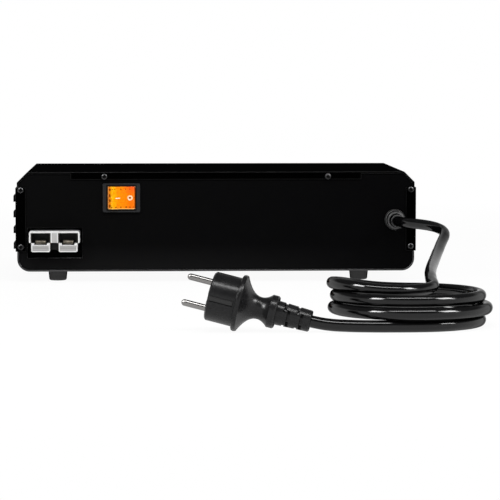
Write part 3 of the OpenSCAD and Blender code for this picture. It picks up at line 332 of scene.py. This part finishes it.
def panel_edge_look():
    # painted highlight: a much lighter copy of the panel paint, for the panel's rounded edges
    material = look("panel_edge", (0.12, 0.12, 0.122), 0.4, specular=0.4, grain=POWDER)
    tree, shader = shader_of(material)
    low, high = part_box("dc_connector_housing")
    x, _, z = place_axes(tree)
    cut_z = low.z - CUT_BELOW * MM
    # painted highlight, mottled, along part of the cut-out's lower edge
    cut_highlight = combined(tree, "MULTIPLY", within(tree, x, low.x + HIGHLIGHT_FROM * MM, high.x + MM),
                    within(tree, z, cut_z - MM, cut_z + MM),
                    ranged(tree, noise_node(tree, 150, 2.0), 0.3, 1, 0.42, 0.5))
    painted(tree, shader, cut_highlight, (0.6, 0.6, 0.62))
    return material


LOOKS["panel_paint"] = panel_look()

# Output connector, in millimetres: pale plastic, its front face painted much lighter than its sides
# as painted light, ribbed inserts drawn as painted light and shade, and painted shade in the cavities
# and gaps

POLE_X, POLE_HALF_W, BLOCK_H, NOTCH_H, HOOD_WALL = 11.85, 8.15, 8.0, 1.8, 1.6
CAVITY_HALF_W, CAVITY_MOUTH_SHADE, WEB_HALF_W = 7.55, 1.1, 3.7
INSERT_EDGE, WEB_RIM = 1.0, 1.4
FRONT_SKIN = 0.35       # how deep the painted light of the front goes
RIB_PITCH = 1.3


def connector_look():
    material = look("connector_plastic", (0.3, 0.3, 0.305), 0.42, tint=0.04, specular=0.2,
                    grain=((1300, 0.018),))
    tree, shader = shader_of(material)
    low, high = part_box("dc_connector_housing")
    mid = (low.x + high.x) / 2
    split = low.z + BLOCK_H * MM
    hollow_top = high.z - HOOD_WALL * MM
    x, y, z = place_axes(tree)
    # painted light: the front face much lighter than the sides
    at_front = within(tree, y, low.y - MM, low.y + FRONT_SKIN * MM, 0.1 * MM)
    painted(tree, shader, at_front, (0.7, 0.7, 0.695))
    # painted light and shade stripes that stand for the inserts' ribs
    ribs = tree.nodes.new("ShaderNodeTexWave")
    ribs.bands_direction = "Z"
    ribs.inputs["Scale"].default_value = math.tau / 20 / (RIB_PITCH * MM)
    where = tree.nodes.new("ShaderNodeTexCoord")
    wire(tree, where.outputs["Object"], ribs.inputs["Vector"])
    ribbed = blended(tree, ribs.outputs["Fac"], (0.23, 0.225, 0.222), (0.44, 0.435, 0.43))
    web = (WEB_HALF_W - WEB_RIM) * MM
    on_web = combined(tree, "MULTIPLY", at_front, within(tree, x, mid - web, mid + web),
                      within(tree, z, split, hollow_top))
    painted(tree, shader, on_web, (0.42, 0.415, 0.41))
    # painted shade in the gap between the blocks
    between = (WEB_HALF_W + 0.1) * MM
    dark = combined(tree, "MULTIPLY", within(tree, x, mid - between, mid + between),
                    within(tree, z, low.z - MM, split - 0.1 * MM))
    painted(tree, shader, dark, (0.014, 0.014, 0.014))
    for side in (-1, 1):
        pole = mid + side * POLE_X * MM
        insert = (POLE_HALF_W - INSERT_EDGE) * MM
        face = combined(tree, "MULTIPLY", at_front, within(tree, x, pole - insert, pole + insert),
                        within(tree, z, low.z + INSERT_EDGE * MM, split - (NOTCH_H + 0.7) * MM))
        painted(tree, shader, face, ribbed)
        # painted shade in the cavities, over a band round their mouths, and in the notches
        half = CAVITY_HALF_W * MM
        reach = half + CAVITY_MOUTH_SHADE * MM
        cavity = combined(tree, "MULTIPLY", within(tree, x, pole - reach, pole + reach),
                          within(tree, z, split - 0.2 * MM, hollow_top))
        notch = combined(tree, "MULTIPLY", within(tree, y, low.y + 0.5 * MM, high.y),
                         within(tree, x, pole - half, pole + half),
                         within(tree, z, split - (NOTCH_H + 0.2) * MM, split))
        painted(tree, shader, combined(tree, "MAXIMUM", cavity, notch), (0.011, 0.0095, 0.008))
    return material


LOOKS["connector_plastic"] = connector_look()


def contact_look():
    """Tarnished silver, with a painted highlight on its lower lip."""
    material = look("silver_contact", (0.1, 0.088, 0.07), 0.42, metal=1.0, tint=0.6, tint_scale=260,
                    grain=((700, 0.03),), stretch=(1, 0.15, 1))
    tree, shader = shader_of(material)
    low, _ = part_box("dc_contacts")
    _, _, z = place_axes(tree)
    # painted highlight, mottled, on the lower lip
    lip = combined(tree, "MULTIPLY", within(tree, z, low.z - MM, low.z + 1.3 * MM, 0.3 * MM),
                   ranged(tree, noise_node(tree, 240, 2.0), 0.1, 1, 0.4, 0.6))
    painted(tree, shader, lip, (0.62, 0.56, 0.47))
    return material


LOOKS["silver_contact"] = contact_look()

# Rocker switch, in millimetres: its bezel, and the bay that the rocker sits in, with painted shade

BAY_W, BAY_H, BAY_RIM_SHADE = 24.0, 20.4, 1.2


def switch_look(name, color, specular):
    """Dark plastic, with painted shade, near black, in the bay round the rocker and in a band round
    its rim.
    """
    material = look(name, color, 0.45, specular=specular, grain=((1500, 0.02),))
    tree, shader = shader_of(material)
    low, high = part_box("switch_housing")
    mid = (low + high) / 2
    x, y, z = place_axes(tree)
    bay = within(tree, y, low.y + 0.5 * MM, high.y + MM)
    half_w, half_h = (BAY_W / 2 + BAY_RIM_SHADE) * MM, (BAY_H / 2 + BAY_RIM_SHADE) * MM
    rim = combined(tree, "MULTIPLY", within(tree, x, mid.x - half_w, mid.x + half_w),
                   within(tree, z, mid.z - half_h, mid.z + half_h))
    # painted shade, near black, in the bay and in the band round its rim
    painted(tree, shader, combined(tree, "MAXIMUM", bay, rim), (0.001, 0.001, 0.001))
    return material


LOOKS["switch_plastic"] = switch_look("switch_plastic", (0.016, 0.0165, 0.0178), 0.1)

# Rocker: orange plastic with painted light, lighter and yellower towards its left end and deeper
# orange to the right, painted shade towards its upper right corner, painted highlights on its edges,
# and a faint painted glow

ROCKER_LIT_TONES = (
    (0.0, (0.88, 0.24, 0.01)), (0.09, (0.88, 0.26, 0.008)), (0.14, (0.9, 0.44, 0.001)),
    (0.24, (0.9, 0.4, 0.001)), (0.36, (0.9, 0.26, 0.001)), (0.62, (0.89, 0.22, 0.001)),
    (0.84, (0.86, 0.15, 0.002)), (1.0, (0.85, 0.18, 0.006)),
)
ROCKER_RIM, ROCKER_TOP_RIM = 0.9 * MM, 0.8 * MM


def rocker_look():
    # a faint painted glow
    material = look("rocker_plastic", (1.0, 0.3, 0.004), 0.26, gloss=0.04, specular=0.05,
                    grain=((900, 0.01),), Emission_Strength=0.15)
    tree, shader = shader_of(material)
    low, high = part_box("switch_rocker")
    x, _, z = place_axes(tree)
    # painted light: lighter and yellower towards the left end, deeper orange to the right
    ramp = tree.nodes.new("ShaderNodeValToRGB")
    stops = ramp.color_ramp.elements
    while len(stops) < len(ROCKER_LIT_TONES):
        stops.new(0.5)
    for stop, (share, tone) in zip(stops, ROCKER_LIT_TONES):
        stop.position = share
        stop.color = (*tone, 1)
    wire(tree, ranged(tree, x, 0, 1, low.x, high.x), ramp.inputs["Fac"])
    wire(tree, ramp.outputs["Color"], shader.inputs["Base Color"])
    mid = (low + high) / 2
    # painted shade, deeper red, towards the upper right corner
    corner = combined(tree, "MULTIPLY", ranged(tree, x, 0, 1, mid.x, high.x - 2 * MM),
                      ranged(tree, z, 0, 1, mid.z + 3 * MM, high.z - 2 * MM))
    painted(tree, shader, corner, (0.9, 0.09, 0.012))
    mottle = ranged(tree, noise_node(tree, 700, 2.0), 0, 0.5, 0.46, 0.64)
    painted(tree, shader, mottle, (0.78, 0.12, 0.002))
    foot, top = mid.z - BAY_H / 2 * MM, mid.z + BAY_H / 2 * MM
    # painted highlights, lighter and paler, along the left and bottom edges and at the corners
    left_edge = within(tree, x, low.x - MM, low.x + ROCKER_RIM)
    right_edge = within(tree, x, high.x - ROCKER_RIM, high.x + MM)
    bottom_edge = within(tree, z, low.z - MM, foot + ROCKER_RIM)
    top_edge = within(tree, z, top - ROCKER_TOP_RIM, high.z + MM)
    painted(tree, shader, left_edge, (0.9, 0.36, 0.1))
    painted(tree, shader, bottom_edge, (0.95, 0.56, 0.16))
    corners = combined(tree, "MULTIPLY", combined(tree, "MAXIMUM", left_edge, right_edge),
                       combined(tree, "MAXIMUM", bottom_edge, top_edge))
    painted(tree, shader, corners, (0.95, 0.6, 0.34))
    # the painted glow takes the painted colours, their painted light and shade included
    wire(tree, shader.inputs["Base Color"].links[0].from_socket, shader.inputs["Emission Color"])
    return material


LOOKS["rocker_plastic"] = rocker_look()

# Painted highlights: lighter copies of the looks for the rounded edges and for a few faces that catch
# the light, the rocker's with a faint painted glow; and painted shade: darker copies for the tabs
# over the rear panel and the earth clips

PAINTED_LIGHT_LOOKS = {
    "tray_edge": look("tray_edge", (0.024, 0.024, 0.025), 0.35, specular=0.3, grain=POWDER),
    "case_edge": look("case_edge", (0.003, 0.003, 0.0031), 0.4, specular=0.15, grain=POWDER,
                      matt_edge_on=(0.72, 0.93)),
    # painted shade: a darker copy of the case paint for the tabs' rear faces
    "tab_shade": look("tab_shade", (0.0004, 0.0004, 0.0004), 0.6, specular=0.0, grain=POWDER),
    "panel_edge": panel_edge_look(),
    "bezel_edge": switch_look("bezel_edge", (0.07, 0.072, 0.076), 0.4),
    "rocker_edge": look("rocker_edge", (1.0, 0.7, 0.45), 0.3, tint=0.05, grain=((900, 0.01),),
                        Emission_Strength=0.2, Emission_Color=(1.0, 0.65, 0.4, 1)),
    "screw_rim": look("screw_rim", (0.034, 0.034, 0.035), 0.3, metal=0.8, tint=1.0, tint_scale=430,
                      grain=((1500, 0.01),)),
    "clip_shade": look("clip_shade", (0.03, 0.03, 0.03), 0.4, metal=0.6, grain=((900, 0.01),)),
    "gland_edge": look("gland_edge", (0.075, 0.075, 0.076), 0.3, specular=0.6, tint=0.85,
                       tint_scale=120, grain=MOULDED),
    "plug_edge": look("plug_edge", (0.02, 0.02, 0.021), 0.26, specular=0.35, grain=MOULDED),
    "foot_edge": look("foot_edge", (0.06, 0.06, 0.06), 0.4, specular=0.5, grain=((1100, 0.02),)),
}
PAD_PRINT = look("pad_print", (1.0, 0.72, 0.46), 0.4, tint=0.03, specular=0.2, grain=((2500, 0.004),))
PIP_SHADE = look("pip_shade", (0.22, 0.035, 0.002), 0.35, tint=0.3, tint_scale=600, specular=0.05,
                 grain=((900, 0.01),))

# Each node's edge rounding, in millimetres, and the painted highlight look of its rounded edges where
# that differs

EDGES = {
    "base_tray": (0.6, "tray_edge"), "top_cover": (0.35, "case_edge"),
    "rear_panel": (0.45, "panel_edge"), "front_panel": (0.3, "case_edge"),
    "louvred_side_plate": (0.25, "case_edge"), "fan_side_plate": (0.25, "case_edge"),
    "foot_rear_left": (0.4, "foot_edge"), "foot_rear_right": (0.4, "foot_edge"),
    "foot_front_left": (0.4, "foot_edge"), "foot_front_right": (0.4, "foot_edge"),
    "case_screws": (0.12, "screw_rim"), "foot_screws": (0.12, None),
    "switch_housing": (0.45, "bezel_edge"), "switch_rocker": (0.4, "rocker_edge"),
    "dc_connector_housing": (0.3, None), "dc_contacts": (0.2, None),
    "cable_gland": (0.16, "gland_edge"), "gland_nut": (0.2, None),
    "strain_relief": (0.16, "gland_edge"), "plug_body": (0.3, "plug_edge"),
    "plug_earth_clips": (0.12, None), "mode_button": (0.3, None), "start_button": (0.3, None),
    "fan_frame": (0.3, None), "fan_screws": (0.12, None), "fan_rotor": (0.2, None),
    "display_window": (0.2, None),
}
SHARP = math.radians(28)
WELD = 0.002 * MM


def round_edges(piece, width_mm, edge_look):
    weld = piece.modifiers.new("weld", "WELD")
    weld.merge_threshold = WELD
    bevel = piece.modifiers.new("bevel", "BEVEL")
    bevel.width = width_mm * MM
    bevel.segments = 2
    bevel.limit_method = "ANGLE"
    bevel.angle_limit = SHARP
    flat = piece.modifiers.new("flat_faces", "WEIGHTED_NORMAL")
    flat.weight = 100
    flat.keep_sharp = True
    if edge_look:
        piece.data.materials.append(PAINTED_LIGHT_LOOKS[edge_look])
        bevel.material = 1
    for face in piece.data.polygons:
        face.use_smooth = True


def look_on_faces(name, look_name, chosen):
    """Gives the node's faces that chosen(face) accepts a look of their own, with painted highlight or
    painted shade.
    """
    data = NODES[name].data
    data.materials.append(PAINTED_LIGHT_LOOKS[look_name])
    for face in data.polygons:
        if chosen(face):
            face.material_index = len(data.materials) - 1


def look_on_parts():
    """Painted highlights on the screw heads' sloping rims and on the tray's cut sheet edge, and
    painted shade on the tabs over the rear panel and on the earth clips in their channel."""
    look_on_faces("case_screws", "screw_rim", lambda face: 0.35 < abs(face.normal.y) < 0.97)
    look_on_faces("base_tray", "tray_edge", lambda face: face.normal.y < -0.9)
    for name in ("top_cover", "louvred_side_plate", "fan_side_plate"):
        look_on_faces(name, "tab_shade", lambda face: face.normal.y < -0.9)
    look_on_faces("plug_earth_clips", "clip_shade", lambda face: True)


def dress_nodes():
    slots = {s["node"]: s["material_slot"] for s in frame["record"]["subparts"]}
    for name, piece in NODES.items():
        piece.data.materials.clear()
        piece.data.materials.append(LOOKS[slots[name]])
        if name in EDGES:
            round_edges(piece, *EDGES[name])
    look_on_parts()


# Studio: a white floor that fades into the white background, and soft lamps

OBJECT_MID = Vector((10 * MM, -150 * MM, 40 * MM))
FLOOR_HALF, FLOOR_DROP = 12, 0.2 * MM
FLOOR_WHITE = (0.94, 1.0)   # how white the floor shows at the object, and far from it
FLOOR_FADE = (0.5, 1.2)     # the distances between which that changes
AMBIENT = 0.42
CEILING = 0.12
CEILING_RISE = (0.3, 0.5)   # the heights, as shares of the sky, between which it darkens


def seen_directly(tree):
    """1 for what the camera sees, in a gloss or through glass too, so that those show the white."""
    rays = tree.nodes.new("ShaderNodeLightPath")
    return combined(tree, "MAXIMUM", rays.outputs["Is Camera Ray"], rays.outputs["Is Glossy Ray"],
                    rays.outputs["Is Transmission Ray"])


def make_floor():
    material = bpy.data.materials.new("floor")
    material.use_nodes = True
    tree = material.node_tree
    lit = tree.nodes["Principled BSDF"]
    lit.inputs["Base Color"].default_value = (0.93, 0.93, 0.93, 1)
    lit.inputs["Roughness"].default_value = 0.8
    lit.inputs["Specular IOR Level"].default_value = 0.1
    glow = tree.nodes.new("ShaderNodeEmission")
    glow.inputs["Strength"].default_value = 1.0
    mix = tree.nodes.new("ShaderNodeMixShader")
    where = tree.nodes.new("ShaderNodeTexCoord")
    far = tree.nodes.new("ShaderNodeVectorMath")
    far.operation = "LENGTH"
    wire(tree, where.outputs["Object"], far.inputs[0])
    fade = ranged(tree, far.outputs["Value"], *FLOOR_WHITE, *FLOOR_FADE)
    wire(tree, combined(tree, "MULTIPLY", seen_directly(tree), fade), mix.inputs[0])
    wire(tree, lit.outputs["BSDF"], mix.inputs[1])
    wire(tree, glow.outputs["Emission"], mix.inputs[2])
    wire(tree, mix.outputs["Shader"], tree.nodes["Material Output"].inputs["Surface"])
    edit = bmesh.new()
    bmesh.ops.create_grid(edit, x_segments=1, y_segments=1, size=FLOOR_HALF)
    floor = mesh_piece("floor", edit, material)
    floor.location.z = -FLOOR_DROP


def make_world():
    """A white studio under a dark ceiling, which is where the lamps hang."""
    world = bpy.data.worlds.new("studio")
    bpy.context.scene.world = world
    world.use_nodes = True
    tree = world.node_tree
    tree.nodes["Background"].inputs["Color"].default_value = (1, 1, 1, 1)
    tree.nodes["Background"].inputs["Strength"].default_value = AMBIENT
    seen = tree.nodes.new("ShaderNodeBackground")
    seen.inputs["Color"].default_value = (1, 1, 1, 1)
    where = tree.nodes.new("ShaderNodeTexCoord")
    parts = tree.nodes.new("ShaderNodeSeparateXYZ")
    wire(tree, where.outputs["Generated"], parts.inputs["Vector"])
    wire(tree, ranged(tree, parts.outputs["Z"], 1.0, CEILING, *CEILING_RISE), seen.inputs["Strength"])
    mix = tree.nodes.new("ShaderNodeMixShader")
    wire(tree, seen_directly(tree), mix.inputs[0])
    wire(tree, tree.nodes["Background"].outputs["Background"], mix.inputs[1])
    wire(tree, seen.outputs["Background"], mix.inputs[2])
    wire(tree, mix.outputs["Shader"], tree.nodes["World Output"].inputs["Surface"])


def softbox(name, place, size, power, gloss_only=False):
    """gloss_only makes one that shows as a streak in a gloss and lights nothing."""
    data = bpy.data.lights.new(name, "AREA")
    data.shape = "RECTANGLE"
    data.size, data.size_y = size
    data.energy = power
    lamp = linked(name, data)
    lamp.location = OBJECT_MID + Vector(place)
    lamp.rotation_euler = (-Vector(place)).to_track_quat("-Z", "Y").to_euler()
    lamp.visible_diffuse = not gloss_only


def make_lamps():
    softbox("left_softbox", (-1.2, -0.9, 1.0), (0.2, 0.8), 5.5)
    softbox("right_softbox", (1.3, -0.8, 0.9), (0.2, 0.8), 5)
    softbox("top_softbox", (0.1, -0.9, 1.3), (1.3, 0.2), 15)
    softbox("left_streak", (-1.0, -1.0, 1.0), (0.5, 0.6), 26, gloss_only=True)
    softbox("right_streak", (1.1, -0.9, 1.0), (0.4, 0.6), 19, gloss_only=True)


# Rocker, in millimetres: its printed marks, and the small dark pips near its edges and in the middle
# of its ring

SWITCH_MID = (-81.7, 73.2)
BAR = (-3.1, -0.3, 3.9, 1.0)
RING = (7.5, 0.0, 4.5, 2.1)
PIPS = [
    (-10.0, 7.1, 1.3, 2.2), (-10.1, 2.0, 1.3, 2.4), (-10.0, -2.3, 1.3, 2.2), (-10.0, -7.1, 1.4, 2.4),
    (-8.2, -8.0, 1.2, 1.0), (-4.7, -8.0, 1.2, 1.0), (-0.4, -8.0, 1.3, 1.0), (4.1, -8.0, 1.4, 1.1),
    (7.4, -8.0, 1.2, 1.0), (10.6, -8.0, 1.2, 1.0), (-7.8, 7.6, 1.1, 0.8), (-5.6, 7.6, 1.0, 0.8),
    (-0.5, 7.6, 1.2, 0.8), (3.7, 7.6, 1.3, 0.9), (7.4, 7.6, 1.0, 0.8), (11.0, 0.1, 0.7, 1.6),
]
PRINT_OUT, PRINT_IN = 0.03, 0.1


def oval(x, z, w, h, sides=24, power=3.0):
    """Points round a rounded rectangle, in millimetres from the switch's middle."""
    points = []
    for k in range(sides):
        a = math.tau * k / sides
        c, s = math.cos(a), math.sin(a)
        points.append((x + w / 2 * math.copysign(abs(c) ** (2 / power), c),
                       z + h / 2 * math.copysign(abs(s) ** (2 / power), s)))
    return points


def printed(name, loops, material):
    """Thin prints on the rocker. Each item is an outline, or a pair of outlines for a ring."""
    rocker = NODES["switch_rocker"]
    surface = BVHTree.FromPolygons([v.co for v in rocker.data.vertices],
                                   [p.vertices for p in rocker.data.polygons])

    def on_rocker(x, z):
        start = Vector(((SWITCH_MID[0] + x) * MM, PANEL_Y - 50 * MM, (SWITCH_MID[1] + z) * MM))
        point, normal, _, _ = surface.ray_cast(start, Vector((0, 1, 0)))
        return point + normal * PRINT_OUT * MM, point - normal * PRINT_IN * MM

    def laid(edit, outline):
        """Two rings of vertices, just in front of the rocker's surface and just inside it."""
        pairs = [on_rocker(x, z) for x, z in outline]
        return [[edit.verts.new(pair[side]) for pair in pairs] for side in (0, 1)]

    def walls(edit, one, two):
        for k in range(len(one)):
            m = (k + 1) % len(one)
            edit.faces.new((one[k], one[m], two[m], two[k]))

    edit = bmesh.new()
    for item in loops:
        if isinstance(item, tuple):
            outer, inner = laid(edit, item[0]), laid(edit, item[1])
            walls(edit, outer[0], outer[1])
            walls(edit, inner[1], inner[0])
            walls(edit, inner[0], outer[0])
            walls(edit, outer[1], inner[1])
        else:
            rings = laid(edit, item)
            walls(edit, *rings)
            middle = [sum(v) / len(item) for v in zip(*item)]
            for ring, place in zip(rings, on_rocker(*middle)):
                hub = edit.verts.new(place)
                for k in range(len(ring)):
                    edit.faces.new((ring[k], ring[(k + 1) % len(ring)], hub))
    bmesh.ops.recalc_face_normals(edit, faces=edit.faces)
    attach(mesh_piece(name, edit, material), "rocker")


def make_prints():
    ring_x, ring_z, outer_d, inner_d = RING
    ring = tuple(oval(ring_x, ring_z, d, d, 40, 2.0) for d in (outer_d, inner_d))
    printed("rocker_marks", [oval(*BAR, power=6.0), ring], PAD_PRINT)
    hole = oval(ring_x, ring_z, inner_d * 0.8, inner_d * 0.8, 24, 2.0)
    printed("rocker_pips", [oval(*pip) for pip in PIPS] + [hole], PIP_SHADE)


# Louvres: the fuller, upright hoods that stand out past the sloping ones, in millimetres

LOUVRE_ROWS, LOUVRE_PITCH, LOUVRE_LOW, LOUVRE_RISE = 4, 13.8, 0.7, 3.0
LOUVRE_LEN, LOUVRE_GAP = 66.0, 10.0
HOOD_PROFILE = [(0.2, 8.0), (-1.7, 6.9), (-2.7, 5.9), (-3.0, 4.9), (-3.0, 0.1), (-2.5, 0.1),
                (0.4, 7.6)]


def make_louvre_hoods():
    low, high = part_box("louvred_side_plate")
    face_x, mid_y = low.x + LOUVRE_RISE * MM, (low.y + high.y) / 2
    half = LOUVRE_LEN / 2 * MM
    edit = bmesh.new()
    for row in range(LOUVRE_ROWS):
        base_z = low.z + (LOUVRE_LOW + row * LOUVRE_PITCH) * MM
        for side in (-1, 1):
            y = mid_y + side * (LOUVRE_LEN + LOUVRE_GAP) / 2 * MM
            ends = [[edit.verts.new((face_x + px * MM, y + end * half, base_z + pz * MM))
                     for px, pz in HOOD_PROFILE] for end in (-1, 1)]
            for k in range(len(HOOD_PROFILE)):
                m = (k + 1) % len(HOOD_PROFILE)
                edit.faces.new((ends[0][k], ends[0][m], ends[1][m], ends[1][k]))
            for end in ends:
                edit.faces.new(end)
    bmesh.ops.recalc_face_normals(edit, faces=edit.faces)
    hoods = mesh_piece("louvre_hoods", edit, LOOKS["case_paint"])
    round_edges(hoods, *EDGES["louvred_side_plate"])
    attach(hoods, "root")


make_camera()
cord_route = LEAD + [coil_point(a) for a in range(COIL_START, COIL_END - 1, COIL_STEP)] + TAIL
mains_lead = curve_through("mains_lead", cord_route, CORD_D / 2 * MM, LOOKS["cord_rubber"])
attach(mains_lead, "root")
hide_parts("cord_lead", "cord_coil", "cord_tail")
dress_nodes()
make_louvre_hoods()
make_prints()
make_floor()
make_world()
make_lamps()
bpy.context.scene.view_settings.view_transform = "Standard"
